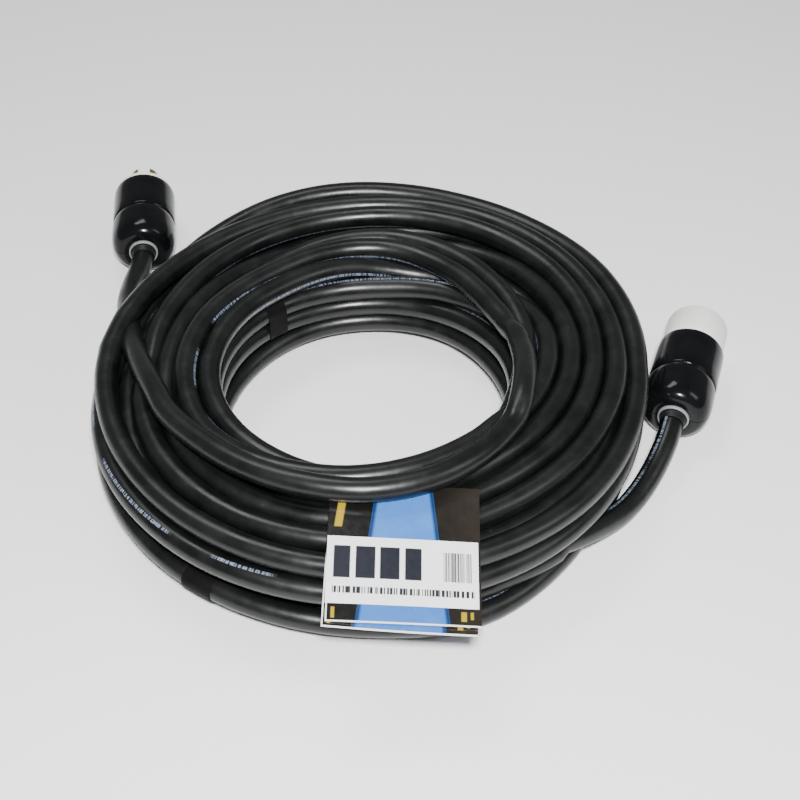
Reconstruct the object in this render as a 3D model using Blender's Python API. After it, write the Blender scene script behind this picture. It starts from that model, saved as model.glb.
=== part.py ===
"""A coiled five-wire shore power cord: a locking plug, a locking connector, and a folded hang tag.

The coil lies on the floor, z = 0, with its axis along +Z. Each device has a local frame of its own: x to the
right, z forward along its axis out of its face, and -y up, with the black shell's front edge at z = 0.
"""

import math

import bmesh
import bpy
import numpy as np
from mathutils import Matrix, Vector

MM = 0.001
GAP = 0.3 * MM

# The cord and the coil that it is wound into.
CORD_RADIUS = 9.15 * MM
COIL_CENTRE = (-0.0335, -0.0250)
COIL_SEGMENTS = 56
COIL_PROFILE_MM = (
    (208.5, 0), (213.5, 5), (213.5, 45), (206, 68), (198.5, 77.5), (139, 86.5), (137.5, 99), (131, 106),
    (119, 106), (112.5, 99), (110.5, 88), (110.5, 6), (115.5, 0),
)
# How far out the ring reaches about its axis, in mm by degrees, and how much lower it is at its back.
COIL_REACH_ANGLES = (-180, -150, -45, -20, -5, 3, 10, 18, 28, 48, 64, 91, 101, 119, 134, 150, 165, 180)
COIL_REACH_MM = (211.5, 213.5, 213.5, 217.5, 220, 220.5, 225, 230.5, 239, 258, 265, 268, 266, 258, 246, 219.5, 212.5, 211.5)
COIL_BACK_ANGLES = (-180, -25, 65, 110, 178)
COIL_BACK_SHARE = (0, 0, 1, 1, 0)
COIL_BACK_DROP = 0.16
CHANNEL_CLEARANCE = 0.45 * MM
CHANNEL_LIFT = 100 * MM
TAIL_STEP = 13 * MM

# The tails' routes from the devices' rear openings to where they join the coil, in metres.
PLUG_TAIL_ROUTE = (
    (-0.2318, 0.1520, 0.0275), (-0.2345, 0.1280, 0.0300), (-0.2345, 0.1000, 0.0370), (-0.2300, 0.0680, 0.0470),
    (-0.2230, 0.0340, 0.0595), (-0.2140, 0.0000, 0.0715), (-0.2030, -0.0320, 0.0815), (-0.1905, -0.0620, 0.0885),
    (-0.1765, -0.0920, 0.0925),
)
CONNECTOR_TAIL_ROUTE = (
    (0.2015, -0.0530, 0.0250), (0.1915, -0.0740, 0.0195), (0.1790, -0.0945, 0.0140), (0.1640, -0.1145, 0.0125),
    (0.1465, -0.1335, 0.0175), (0.1265, -0.1520, 0.0260), (0.1035, -0.1690, 0.0330),
)

# The devices: where the shell's front edge is, and the turn about +Z from +Y, in degrees.
DEVICES = {
    "plug": {"place": (-0.2390, 0.2510), "turn": 5.6, "route": PLUG_TAIL_ROUTE},
    "connector": {"place": (0.2320, 0.0430), "turn": -17.4, "route": CONNECTOR_TAIL_ROUTE},
}
DEVICE_SEGMENTS = 32
AXIS_HEIGHT = 27.9 * MM
SHELL_BORE = 22.8 * MM
SHELL_PROFILE_MM = (
    (22.8, 0), (25.6, 0), (26.6, -0.8), (27, -2.4), (27.3, -30), (27.3, -39.8), (26.6, -41.2), (25, -41.2),
    (25, -43), (22.8, -43),
)
CLAMP_PROFILE_MM = (
    (20, -43.3), (25.4, -43.3), (26.7, -44), (27.3, -46), (27.7, -52), (27.4, -59), (26, -66), (23.4, -72),
    (20.2, -76.5), (17, -79), (12.9, -79), (12.9, -62), (20, -62),
)
GROMMET_PROFILE_MM = ((9.5, -79.6), (11.4, -80.2), (12.5, -79.4), (12.5, -63), (9.5, -63))
JACKET_END = -58 * MM
REAR_END = -79 * MM
CORE_RADIUS = 22.4 * MM
CORE_REAR = -24 * MM

# Contacts: four curved blades about a round ground pin.
BLADE_ANGLES = (45, 135, 225, 315)
BLADE_NAMES = ("w", "x", "y", "z")
BLADE_RADII = (11.7 * MM, 13.3 * MM)
BLADE_HALF_ANGLE = 20
BLADE_TIP = 27.5 * MM
BLADE_REAR = -26.5 * MM
SLEEVE_TIP = 27 * MM
POCKET_RADII = (11.0 * MM, 14.6 * MM)
CONTACT_RADII = (13.4 * MM, 14.3 * MM)
POCKET_EXTRA_ANGLE = 3
PIN_RADIUS = 2.4 * MM
SLEEVE_RADII = (2.6 * MM, 3.3 * MM)
PLUG_FACE_FRONT = 5.5 * MM
CONNECTOR_FACE_FRONT = 32 * MM
CONNECTOR_FACE_REAR = 8 * MM

# Fasteners and conductors.
TERMINAL_RADIUS = 17.8 * MM
GROUND_TERMINAL_RADIUS = 7.2 * MM
FACE_SCREW_RADIUS = 19.2 * MM
CLAMP_SCREW_OFFSET = 18.4 * MM
CLAMP_SCREW_STATION = -68 * MM
CLAMP_POCKET_TOP = -12 * MM
CLAMP_SCREW_MM = (3.8, 3.2, 2.0, 21.5)
FACE_SCREW_MM = (2.9, 1.7, 1.5, 20)
TERMINAL_SCREW_MM = (3.0, 2.2, 1.5, 7)
WIRE_RADIUS = 1.75 * MM
WIRE_CIRCLE = 4.4 * MM
WIRE_START_ANGLES = {"w": 18, "x": 162, "y": 234, "z": 306, "ground": 90}
WIRE_COLOURS = {
    "black": (0.02, 0.02, 0.02), "red": (0.45, 0.03, 0.03), "blue": (0.03, 0.08, 0.35),
    "white": (0.8, 0.8, 0.78), "green": (0.03, 0.3, 0.07),
}

# The folded hang tag, with its fold beside the coil's inner ridge.
TAG_WIDTH = 104 * MM
TAG_LENGTH = 109.5 * MM
BACK_LEAF_LENGTH = 114 * MM
BACK_LEAF_SKEW = -1.2
TAG_THICKNESS = 0.6 * MM
TAG_FOLD = (-0.0029, -0.1655, 0.0945)
TAG_TILT = 9.5
TAG_ROLL = 4.5
LABEL_SIZE = (103 * MM, 52 * MM)
LABEL_DROP = 70 * MM

# Tape bands round a few turns: the angle about the coil's axis, the half angle, and the wall's outline in mm.
TAPES = {
    "coil_tape_front": (-124, 3.4, ((214.1, 8), (214.1, 44.6), (208.6, 61.2))),
    "coil_tape_rear": (131, 4.6, ((109.9, 62), (109.9, 22))),
}
TAPE_THICKNESS_MM = 0.9


def clear_scene():
    for old in list(bpy.data.objects):
        bpy.data.objects.remove(old, do_unlink=True)


def material(name, colour, roughness, metallic=0.0):
    made = bpy.data.materials.new(name)
    made.use_nodes = True
    shader = made.node_tree.nodes["Principled BSDF"]
    shader.inputs["Base Color"].default_value = (*colour, 1.0)
    shader.inputs["Roughness"].default_value = roughness
    shader.inputs["Metallic"].default_value = metallic
    return made


def mesh_from(bm, name):
    bmesh.ops.recalc_face_normals(bm, faces=bm.faces[:])
    mesh = bpy.data.meshes.new(name)
    bm.to_mesh(mesh)
    bm.free()
    mesh.shade_smooth()
    mesh.set_sharp_from_angle(angle=math.radians(35))
    return mesh


def place(name, data, finish, parent=None, location=(0, 0, 0), rotation=(0, 0, 0)):
    data.materials.append(finish)
    obj = bpy.data.objects.new(name, data)
    bpy.context.scene.collection.objects.link(obj)
    obj.parent = parent
    obj.location = location
    obj.rotation_euler = rotation
    return obj


def turned(name, profile_mm, segments, sweep=360.0, start=0.0):
    """A closed (radius, height) outline in mm turned about Z; a sweep under 360 degrees gets flat ends."""
    bm = bmesh.new()
    whole = sweep >= 360.0
    count = segments if whole else segments + 1
    rings = []
    for step in range(count):
        angle = math.radians(start + sweep * step / segments)
        rings.append([
            bm.verts.new((r * MM * math.cos(angle), r * MM * math.sin(angle), z * MM)) for r, z in profile_mm
        ])
    for step in range(segments):
        here, there = rings[step], rings[(step + 1) % count]
        for k in range(len(profile_mm)):
            after = (k + 1) % len(profile_mm)
            corners = [here[k], there[k], there[after], here[after]]
            bm.faces.new(corners)
    if not whole:
        bm.faces.new(rings[0])
        bm.faces.new(rings[-1])
    return mesh_from(bm, name)


def turned_solid(name, profile_mm, segments):
    """A (radius, height) outline in mm whose two ends are closed by flat discs on the axis."""
    bm = bmesh.new()
    rings = []
    for r, z in profile_mm:
        rings.append([
            bm.verts.new((r * MM * math.cos(a), r * MM * math.sin(a), z * MM))
            for a in (2 * math.pi * step / segments for step in range(segments))
        ])
    for low, high in zip(rings, rings[1:]):
        for step in range(segments):
            after = (step + 1) % segments
            bm.faces.new([low[step], low[after], high[after], high[step]])
    bm.faces.new(rings[0])
    bm.faces.new(rings[-1])
    return mesh_from(bm, name)


def arc_bar(name, radii, half_angle, bottom, top, centre_angle, segments=5):
    """A bar whose section is a short arc about Z, as a locking blade's is. Up is -y, so angles run that way."""
    bm = bmesh.new()
    angles = [math.radians(-centre_angle + half_angle * (2 * k / segments - 1)) for k in range(segments + 1)]
    outline = [(radii[1] * math.cos(a), radii[1] * math.sin(a)) for a in angles]
    outline += [(radii[0] * math.cos(a), radii[0] * math.sin(a)) for a in reversed(angles)]
    low = [bm.verts.new((x, y, bottom)) for x, y in outline]
    high = [bm.verts.new((x, y, top)) for x, y in outline]
    for k in range(len(outline)):
        after = (k + 1) % len(outline)
        bm.faces.new([low[k], low[after], high[after], high[k]])
    bm.faces.new(low)
    bm.faces.new(high)
    return mesh_from(bm, name)


def box_mesh(name, size, centre=(0, 0, 0)):
    bm = bmesh.new()
    bmesh.ops.create_cube(bm, size=1.0)
    bmesh.ops.scale(bm, vec=size, verts=bm.verts[:])
    bmesh.ops.translate(bm, vec=centre, verts=bm.verts[:])
    return mesh_from(bm, name)


def merged(name, meshes):
    """Several meshes that don't meet, in one mesh, for use as a single cutter."""
    bm = bmesh.new()
    for mesh in meshes:
        bm.from_mesh(mesh)
    made = bpy.data.meshes.new(name)
    bm.to_mesh(made)
    bm.free()
    return made


def shifted(mesh, x, y, z=0.0):
    mesh.transform(Matrix.Translation((x, y, z)))
    return mesh


def cut(obj, cutter_mesh):
    cutter = bpy.data.objects.new(obj.name + "_cutter", cutter_mesh)
    bpy.context.scene.collection.objects.link(cutter)
    cutter.parent = obj.parent
    cutter.location = obj.location
    cutter.rotation_euler = obj.rotation_euler
    cutter.hide_render = True
    cutter.display_type = "WIRE"
    modifier = obj.modifiers.new("cut", "BOOLEAN")
    modifier.operation = "DIFFERENCE"
    modifier.solver = "EXACT"
    modifier.object = cutter


def smooth_route(points, step):
    """Points at even steps along a centripetal Catmull-Rom curve through the given points."""
    given = np.array(points, dtype=float)
    given = np.vstack([2 * given[0] - given[1], given, 2 * given[-1] - given[-2]])
    dense = []
    for p0, p1, p2, p3 in zip(given, given[1:], given[2:], given[3:]):
        knots = np.cumsum([0.0] + [math.sqrt(np.linalg.norm(b - a)) for a, b in ((p0, p1), (p1, p2), (p2, p3))])
        for t in np.linspace(knots[1], knots[2], 24, endpoint=False):
            a1 = p0 + (p1 - p0) * (t - knots[0]) / (knots[1] - knots[0])
            a2 = p1 + (p2 - p1) * (t - knots[1]) / (knots[2] - knots[1])
            a3 = p2 + (p3 - p2) * (t - knots[2]) / (knots[3] - knots[2])
            b1 = a1 + (a2 - a1) * (t - knots[0]) / (knots[2] - knots[0])
            b2 = a2 + (a3 - a2) * (t - knots[1]) / (knots[3] - knots[1])
            dense.append(b1 + (b2 - b1) * (t - knots[1]) / (knots[2] - knots[1]))
    dense = np.array(dense + [given[-2]])
    run = np.concatenate([[0.0], np.cumsum(np.linalg.norm(np.diff(dense, axis=0), axis=1))])
    marks = np.linspace(0.0, run[-1], max(2, round(run[-1] / step)) + 1)
    return np.stack([np.interp(marks, run, dense[:, axis]) for axis in range(3)], axis=1)


def tube_curve(name, points, radius, bevel_resolution):
    curve = bpy.data.curves.new(name, "CURVE")
    curve.dimensions = "3D"
    curve.bevel_depth = radius
    curve.bevel_resolution = bevel_resolution
    curve.use_fill_caps = True
    spline = curve.splines.new("POLY")
    spline.points.add(len(points) - 1)
    for slot, point in zip(spline.points, points):
        slot.co = (*point, 1.0)
    return curve


def channel_mesh(name, points, radius, sides):
    """The channel that a tail lies in: a tube along points whose upper half is drawn up, so its top is open."""
    bm = bmesh.new()
    way = [Vector(p) for p in points]
    rings = []
    for k, centre in enumerate(way):
        ahead = (way[min(k + 1, len(way) - 1)] - way[max(k - 1, 0)]).normalized()
        side = ahead.cross(Vector((0, 0, 1))).normalized()
        rise = side.cross(ahead)
        rings.append([
            bm.verts.new(
                centre + radius * (math.cos(a) * side + math.sin(a) * rise)
                + Vector((0, 0, CHANNEL_LIFT if math.sin(a) > 0 else 0))
            )
            for a in (2 * math.pi * (s + 0.5) / sides for s in range(sides))
        ])
    for near, far in zip(rings, rings[1:]):
        for s in range(sides):
            after = (s + 1) % sides
            bm.faces.new([near[s], near[after], far[after], far[s]])
    bm.faces.new(rings[0])
    bm.faces.new(rings[-1])
    return mesh_from(bm, name)


def device_frame(name, spec):
    frame = bpy.data.objects.new(name + "_frame", None)
    bpy.context.scene.collection.objects.link(frame)
    frame.matrix_world = (
        Matrix.Translation((*spec["place"], AXIS_HEIGHT))
        @ Matrix.Rotation(math.radians(spec["turn"]), 4, "Z")
        @ Matrix.Rotation(math.radians(-90), 4, "X")
    )
    return frame


def polar(radius, angle):
    """A point of a device's cross-section, at an angle from its right towards its top."""
    return radius * math.cos(math.radians(angle)), -radius * math.sin(math.radians(angle))


def contact_places():
    return list(zip(BLADE_NAMES, BLADE_ANGLES))


def terminal_places():
    places = {name: polar(TERMINAL_RADIUS, angle) for name, angle in contact_places()}
    places["ground"] = polar(GROUND_TERMINAL_RADIUS, 90)
    return places


def face_screw_places():
    return [polar(FACE_SCREW_RADIUS, angle) for angle in (0, 180)]


def face_cutters(front, slot_radii, half_angle, centre_radius, rear=CORE_REAR):
    """Everything that is cut out of a device's nylon insulator: slots, centre hole, screw and terminal holes."""
    past = CONNECTOR_FACE_FRONT + MM
    below = rear - MM
    cutters = [arc_bar("slot", slot_radii, half_angle, below, past, angle, 3) for _, angle in contact_places()]
    hole = ((centre_radius / MM, below / MM), (centre_radius / MM, past / MM))
    cutters.append(turned_solid("centre_hole", hole, 12))
    head_floor = front - 2.6 * MM
    screw_hole = ((1.85, front / MM - 24), (1.85, head_floor / MM), (3.4, head_floor / MM), (3.4, past / MM))
    for x, y in face_screw_places():
        cutters.append(shifted(turned_solid("screw_hole", screw_hole, 8), x, y))
    if rear == CORE_REAR:
        for x, y in terminal_places().values():
            cutters.append(shifted(turned_solid("terminal_hole", ((1.8, -26), (1.8, -15)), 8), x, y))
    return merged("face_cutters", cutters)


def screw(name, sizes_mm, finish, parent, location, rotation=(0, 0, 0), slotted=True):
    """A screw whose head points along +z from z = 0: head radius and height, then shank radius and length."""
    head_radius, head_height, shank_radius, shank_length = sizes_mm
    outline = (
        (shank_radius, -shank_length), (shank_radius, 0), (head_radius, 0), (head_radius, 0.72 * head_height),
        (0.82 * head_radius, head_height),
    )
    made = place(name, turned_solid(name, outline, 12), finish, parent, location, rotation)
    if slotted:
        slot = (3 * head_radius * MM, 1.0 * MM, head_height * MM)
        cut(made, box_mesh(name + "_slot", slot, (0, 0, 1.02 * head_height * MM)))


def make_face(name, frame, finish):
    """The nylon insulator: one piece in the plug, a slotted face on a body in the connector."""
    if name == "plug":
        front = PLUG_FACE_FRONT
        outline = ((22.4, -24), (22.4, GAP / MM), (25.2, GAP / MM), (25.2, 4.3), (24.0, front / MM))
        radii = (BLADE_RADII[0] - GAP, BLADE_RADII[1] + GAP)
        face = place("plug_face", turned_solid(name, outline, DEVICE_SEGMENTS), finish, frame)
        cut(face, face_cutters(front, radii, BLADE_HALF_ANGLE + POCKET_EXTRA_ANGLE / 2, PIN_RADIUS + GAP))
        return front
    front, seam = CONNECTOR_FACE_FRONT, CONNECTOR_FACE_REAR / MM
    half_angle = BLADE_HALF_ANGLE + POCKET_EXTRA_ANGLE
    centre = SLEEVE_RADII[1] + GAP
    outline = ((24.8, seam), (24.6, 30.6), (23.2, front / MM))
    face = place("connector_face", turned_solid("face", outline, 24), finish, frame)
    cut(face, face_cutters(front, POCKET_RADII, half_angle, centre, CONNECTOR_FACE_REAR))
    outline = ((22.4, -24), (22.4, GAP / MM), (24.9, GAP / MM), (24.8, seam - GAP / MM))
    body = place("connector_body", turned_solid("body", outline, 24), finish, frame)
    cut(body, face_cutters(front, POCKET_RADII, half_angle, centre))
    return front


def make_contacts(name, frame, finish):
    for blade, angle in contact_places():
        if name == "plug":
            mesh = arc_bar(blade, BLADE_RADII, BLADE_HALF_ANGLE, BLADE_REAR, BLADE_TIP, angle)
            place(f"plug_blade_{blade}", mesh, finish, frame)
        else:
            mesh = arc_bar(blade, CONTACT_RADII, BLADE_HALF_ANGLE, BLADE_REAR, SLEEVE_TIP, angle)
            place(f"connector_contact_{blade}", mesh, finish, frame)
    if name == "plug":
        pin = PIN_RADIUS / MM
        outline = ((pin, BLADE_REAR / MM), (pin, 27), (0.6 * pin, 29))
        place("plug_ground_pin", turned_solid("pin", outline, 16), finish, frame)
    else:
        inner, outer = (r / MM for r in SLEEVE_RADII)
        tip, rear = SLEEVE_TIP / MM, BLADE_REAR / MM
        outline = ((inner, rear), (outer, rear), (outer, tip), (inner, tip))
        place("connector_ground_sleeve", turned("sleeve", outline, 16), finish, frame)


def make_shell_and_clamp(name, frame, finish, steel):
    """The barrel, the fixed lower half of the cord clamp, and its upper jaw, which slides up."""
    place(name + "_shell", turned(name, SHELL_PROFILE_MM, DEVICE_SEGMENTS), finish, frame)
    half = DEVICE_SEGMENTS // 2
    split = GAP / 2
    base = place(name + "_clamp_base", turned(name, CLAMP_PROFILE_MM, half, 180, 0), finish, frame, (0, split, 0))
    jaw = place(name + "_clamp_jaw", turned(name, CLAMP_PROFILE_MM, half, 180, 180), finish, frame, (0, -split, 0))
    # The screws stand upright, their heads in pockets underneath, and thread into the jaw.
    base_cutters, jaw_cutters = [], []
    for side in (-1, 1):
        x = side * CLAMP_SCREW_OFFSET
        pocket = -CLAMP_POCKET_TOP / MM
        hole = turned_solid("hole", ((2.6, -13), (2.6, pocket), (4.4, pocket), (4.4, 30)), 12)
        hole.transform(Matrix.Rotation(math.radians(-90), 4, "X"))
        base_cutters.append(shifted(hole, x, 0, CLAMP_SCREW_STATION))
        bore = turned_solid("bore", ((2.6, -2), (2.6, 12)), 12)
        bore.transform(Matrix.Rotation(math.radians(90), 4, "X"))
        jaw_cutters.append(shifted(bore, x, 0, CLAMP_SCREW_STATION))
    cut(base, merged(name + "_base_cutters", base_cutters))
    cut(jaw, merged(name + "_jaw_cutters", jaw_cutters))
    for number, side in ((1, -1), (2, 1)):
        where = (side * CLAMP_SCREW_OFFSET, -CLAMP_POCKET_TOP + GAP, CLAMP_SCREW_STATION)
        screw(f"{name}_clamp_screw_{number}", CLAMP_SCREW_MM, steel, frame, where, (math.radians(-90), 0, 0))


def make_fasteners(name, frame, front, steel, brass):
    for number, (x, y) in enumerate(face_screw_places(), 1):
        screw(f"{name}_face_screw_{number}", FACE_SCREW_MM, steel, frame, (x, y, front - 2.3 * MM))
    for contact, (x, y) in terminal_places().items():
        where = (x, y, CORE_REAR - GAP)
        name_here = f"{name}_terminal_screw_{contact}"
        screw(name_here, TERMINAL_SCREW_MM, brass, frame, where, (math.radians(180), 0, 0), slotted=False)


def make_wires(name, frame, finishes):
    """One insulated conductor from the jacket's end to each terminal screw."""
    start_z = JACKET_END + GAP
    end_z = CORE_REAR - TERMINAL_SCREW_MM[1] * MM - 3 * GAP
    for (contact, (x, y)), (colour, finish) in zip(terminal_places().items(), finishes.items()):
        sx, sy = polar(WIRE_CIRCLE, WIRE_START_ANGLES[contact])
        length = end_z - start_z
        points = [
            (sx + (x - sx) * blend, sy + (y - sy) * blend, start_z + length * t)
            for t, blend in ((0, 0), (0.1, 0), (0.25, 0.12), (0.4, 0.35), (0.6, 0.68), (0.75, 0.9), (0.88, 1), (1, 1))
        ]
        place(f"{name}_wire_{colour}", tube_curve(colour, points, WIRE_RADIUS, 1), finish, frame)


def tail_points(frame, route):
    """The tail's points, from the jacket's end in the clamp, straight out, then along its route."""
    inside = [frame.matrix_world @ Vector((0, 0, z)) for z in (JACKET_END, REAR_END + 8 * MM, REAR_END - 3 * MM)]
    return smooth_route([tuple(p) for p in inside] + list(route), TAIL_STEP)


def coil_mesh():
    """The ring: its outline turned about Z, drawn outwards and a little lower at the back."""
    mesh = turned("coil", COIL_PROFILE_MM, COIL_SEGMENTS)
    inner = min(r for r, _ in COIL_PROFILE_MM) * MM
    width = max(r for r, _ in COIL_PROFILE_MM) * MM - inner
    for vert in mesh.vertices:
        angle = math.degrees(math.atan2(vert.co.y, vert.co.x))
        radius = math.hypot(vert.co.x, vert.co.y)
        reach = np.interp(angle, COIL_REACH_ANGLES, COIL_REACH_MM) * MM
        share = np.interp(angle, COIL_BACK_ANGLES, COIL_BACK_SHARE)
        drawn = (inner + (radius - inner) * (reach - inner) / width) / radius
        low = 1 - COIL_BACK_DROP * share * share * (3 - 2 * share)
        vert.co = (vert.co.x * drawn, vert.co.y * drawn, vert.co.z * low)
    mesh.set_sharp_from_angle(angle=math.radians(35))
    return mesh


def make_coil(tails, finish):
    coil = place("cord_coil", coil_mesh(), finish, None, (*COIL_CENTRE, 0))
    channels = []
    for points in tails:
        past_end = points[-1] + (points[-1] - points[-2]) * (GAP / TAIL_STEP)
        way = np.vstack([points[:-1], past_end])
        channels.append(channel_mesh("channel", way, CORD_RADIUS + CHANNEL_CLEARANCE, 12))
    channel = merged("coil_channels", channels)
    channel.transform(Matrix.Translation((-COIL_CENTRE[0], -COIL_CENTRE[1], 0)))
    cut(coil, channel)


def make_tag(card, paper):
    """Two leaves folded at the top edge: the back one lies on the coil, the front one lifts on the fold."""
    fold = bpy.data.objects.new("tag_fold_line", None)
    bpy.context.scene.collection.objects.link(fold)
    fold.location = TAG_FOLD
    fold.rotation_euler = (math.radians(TAG_TILT), math.radians(TAG_ROLL), 0)
    leaf = (TAG_WIDTH, TAG_LENGTH, TAG_THICKNESS)
    middle = -TAG_LENGTH / 2
    place("tag_front_leaf", box_mesh("leaf", leaf, (0, middle, 0)), card, fold)
    below = -(TAG_THICKNESS + 1.5 * GAP)
    back = box_mesh("leaf", (TAG_WIDTH, BACK_LEAF_LENGTH, TAG_THICKNESS), (0, -BACK_LEAF_LENGTH / 2, below))
    place("tag_back_leaf", back, card, fold, rotation=(0, 0, math.radians(BACK_LEAF_SKEW)))
    label = (*LABEL_SIZE, 0.3 * MM)
    above = TAG_THICKNESS / 2 + GAP + 0.15 * MM
    place("tag_label", box_mesh("label", label, (-0.001, -LABEL_DROP, above)), paper, fold)


def make_tapes(finish):
    for name, (angle, half_angle, wall) in TAPES.items():
        outward = 1 if wall[0][0] > 150 else -1
        outline = list(wall) + [(r + outward * TAPE_THICKNESS_MM, z + 0.3 * TAPE_THICKNESS_MM) for r, z in reversed(wall)]
        mesh = turned(name, outline, 4, 2 * half_angle, angle - half_angle)
        place(name, mesh, finish, None, (*COIL_CENTRE, 0))


def main():
    clear_scene()
    jacket = material("jacket_rubber", (0.022, 0.024, 0.024), 0.48)
    shell = material("shell_nylon", (0.012, 0.013, 0.015), 0.22)
    nylon = material("face_nylon", (0.83, 0.83, 0.80), 0.45)
    grey = material("grommet_rubber", (0.36, 0.37, 0.37), 0.5)
    brass = material("brass", (0.72, 0.55, 0.24), 0.3, 1.0)
    steel = material("steel", (0.62, 0.62, 0.62), 0.3, 1.0)
    card = material("tag_card", (0.05, 0.055, 0.06), 0.4)
    paper = material("label_paper", (0.92, 0.92, 0.92), 0.6)
    tape = material("tape_vinyl", (0.03, 0.028, 0.028), 0.45)
    wires = {colour: material("wire_" + colour, rgb, 0.5) for colour, rgb in WIRE_COLOURS.items()}

    tails = []
    for name, spec in DEVICES.items():
        frame = device_frame(name, spec)
        bpy.context.view_layer.update()
        front = make_face(name, frame, nylon)
        make_contacts(name, frame, brass)
        make_shell_and_clamp(name, frame, shell, steel)
        place(name + "_grommet", turned(name, GROMMET_PROFILE_MM, 24), grey, frame)
        make_fasteners(name, frame, front, steel, brass)
        make_wires(name, frame, wires)
        points = tail_points(frame, spec["route"])
        place(f"cord_{name}_tail", tube_curve(name, points, CORD_RADIUS, 3), jacket)
        tails.append(points)
    make_coil(tails, jacket)
    make_tag(card, paper)
    make_tapes(tape)


main()
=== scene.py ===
"""Looks for the coiled five-wire shore power cord: plug, connector, hang tag and tape bands."""

import math

import bmesh
import bpy
import numpy as np
from mathutils import Matrix, Vector


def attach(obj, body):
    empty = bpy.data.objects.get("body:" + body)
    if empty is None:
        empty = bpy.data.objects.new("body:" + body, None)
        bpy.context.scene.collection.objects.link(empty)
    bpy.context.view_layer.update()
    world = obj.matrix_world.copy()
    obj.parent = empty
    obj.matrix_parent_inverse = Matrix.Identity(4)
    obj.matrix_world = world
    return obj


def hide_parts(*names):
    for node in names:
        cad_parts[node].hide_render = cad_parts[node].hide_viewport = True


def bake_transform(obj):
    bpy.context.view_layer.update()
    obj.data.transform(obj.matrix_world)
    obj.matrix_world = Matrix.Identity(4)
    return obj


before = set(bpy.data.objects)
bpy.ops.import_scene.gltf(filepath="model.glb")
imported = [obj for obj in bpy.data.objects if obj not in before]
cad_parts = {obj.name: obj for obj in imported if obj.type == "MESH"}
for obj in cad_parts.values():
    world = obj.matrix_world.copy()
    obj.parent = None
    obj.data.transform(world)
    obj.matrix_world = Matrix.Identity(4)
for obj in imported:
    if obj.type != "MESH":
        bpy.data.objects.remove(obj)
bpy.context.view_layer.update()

MM = 0.001
SCENE = bpy.context.scene

# ---------------------------------------------------------------------------------------------- camera

camera_data = bpy.data.cameras.new("camera")
camera_data.lens = 73.0
camera_data.sensor_width = 36.0
camera = bpy.data.objects.new("camera", camera_data)
SCENE.collection.objects.link(camera)
camera.location = (-0.0065, -0.9326, 0.9322)
aim = Vector((-0.0065, 0.0160, 0.0)) - camera.location
camera.rotation_euler = aim.to_track_quat("-Z", "Y").to_euler()
SCENE.camera = camera

# ------------------------------------------------------------------------------------- small helpers


def add(name, mesh, matrix=None):
    obj = bpy.data.objects.new(name, mesh)
    SCENE.collection.objects.link(obj)
    if matrix is not None:
        obj.matrix_world = matrix
    return obj


def mesh_of(name, verts, faces, smooth_angle=40.0):
    mesh = bpy.data.meshes.new(name)
    mesh.from_pydata([tuple(v) for v in verts], [], [tuple(f) for f in faces])
    bm = bmesh.new()
    bm.from_mesh(mesh)
    bmesh.ops.recalc_face_normals(bm, faces=bm.faces[:])
    bm.to_mesh(mesh)
    bm.free()
    mesh.shade_smooth()
    mesh.set_sharp_from_angle(angle=math.radians(smooth_angle))
    return mesh


def rounded(corners, radii, steps=5):
    """A closed outline whose corners are replaced by short curves of about the given radii."""
    out = []
    count = len(corners)
    for k in range(count):
        p = np.array(corners[k], float)
        radius = radii[k] if isinstance(radii, (list, tuple)) else radii
        before, after = np.array(corners[k - 1], float), np.array(corners[(k + 1) % count], float)
        reach = min(radius, 0.45 * np.linalg.norm(before - p), 0.45 * np.linalg.norm(after - p))
        if reach < 0.03:
            out.append(tuple(p))
            continue
        a = p + (before - p) / np.linalg.norm(before - p) * reach
        b = p + (after - p) / np.linalg.norm(after - p) * reach
        for step in range(steps + 1):
            t = step / steps
            out.append(tuple((1 - t) ** 2 * a + 2 * t * (1 - t) * p + t * t * b))
    return out


def lathe(name, outline_mm, segments=96, sweep=360.0, start=0.0, smooth_angle=40.0):
    """A closed (radius, height) outline in mm turned about Z, with flat ends if the sweep isn't whole."""
    whole = sweep >= 360.0
    count = segments if whole else segments + 1
    size = len(outline_mm)
    verts, faces = [], []
    for step in range(count):
        a = math.radians(start + sweep * step / segments)
        verts += [(r * MM * math.cos(a), r * MM * math.sin(a), z * MM) for r, z in outline_mm]
    for step in range(segments):
        here, there = step * size, ((step + 1) % count) * size
        for k in range(size):
            n = (k + 1) % size
            faces.append((here + k, there + k, there + n, here + n))
    if not whole:
        faces.append(tuple(range(size)))
        faces.append(tuple((count - 1) * size + k for k in range(size)))
    return mesh_of(name, verts, faces, smooth_angle)


def lathe_solid(name, outline_mm, segments=64, smooth_angle=40.0):
    """An open (radius, height) outline in mm turned about Z, its two ends closed by discs."""
    size = len(outline_mm)
    verts, faces = [], []
    for step in range(segments):
        a = 2 * math.pi * step / segments
        verts += [(r * MM * math.cos(a), r * MM * math.sin(a), z * MM) for r, z in outline_mm]
    for step in range(segments):
        here, there = step * size, ((step + 1) % segments) * size
        for k in range(size - 1):
            faces.append((here + k, there + k, there + k + 1, here + k + 1))
    faces.append(tuple(step * size for step in range(segments)))
    faces.append(tuple(step * size + size - 1 for step in range(segments)))
    return mesh_of(name, verts, faces, smooth_angle)


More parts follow.
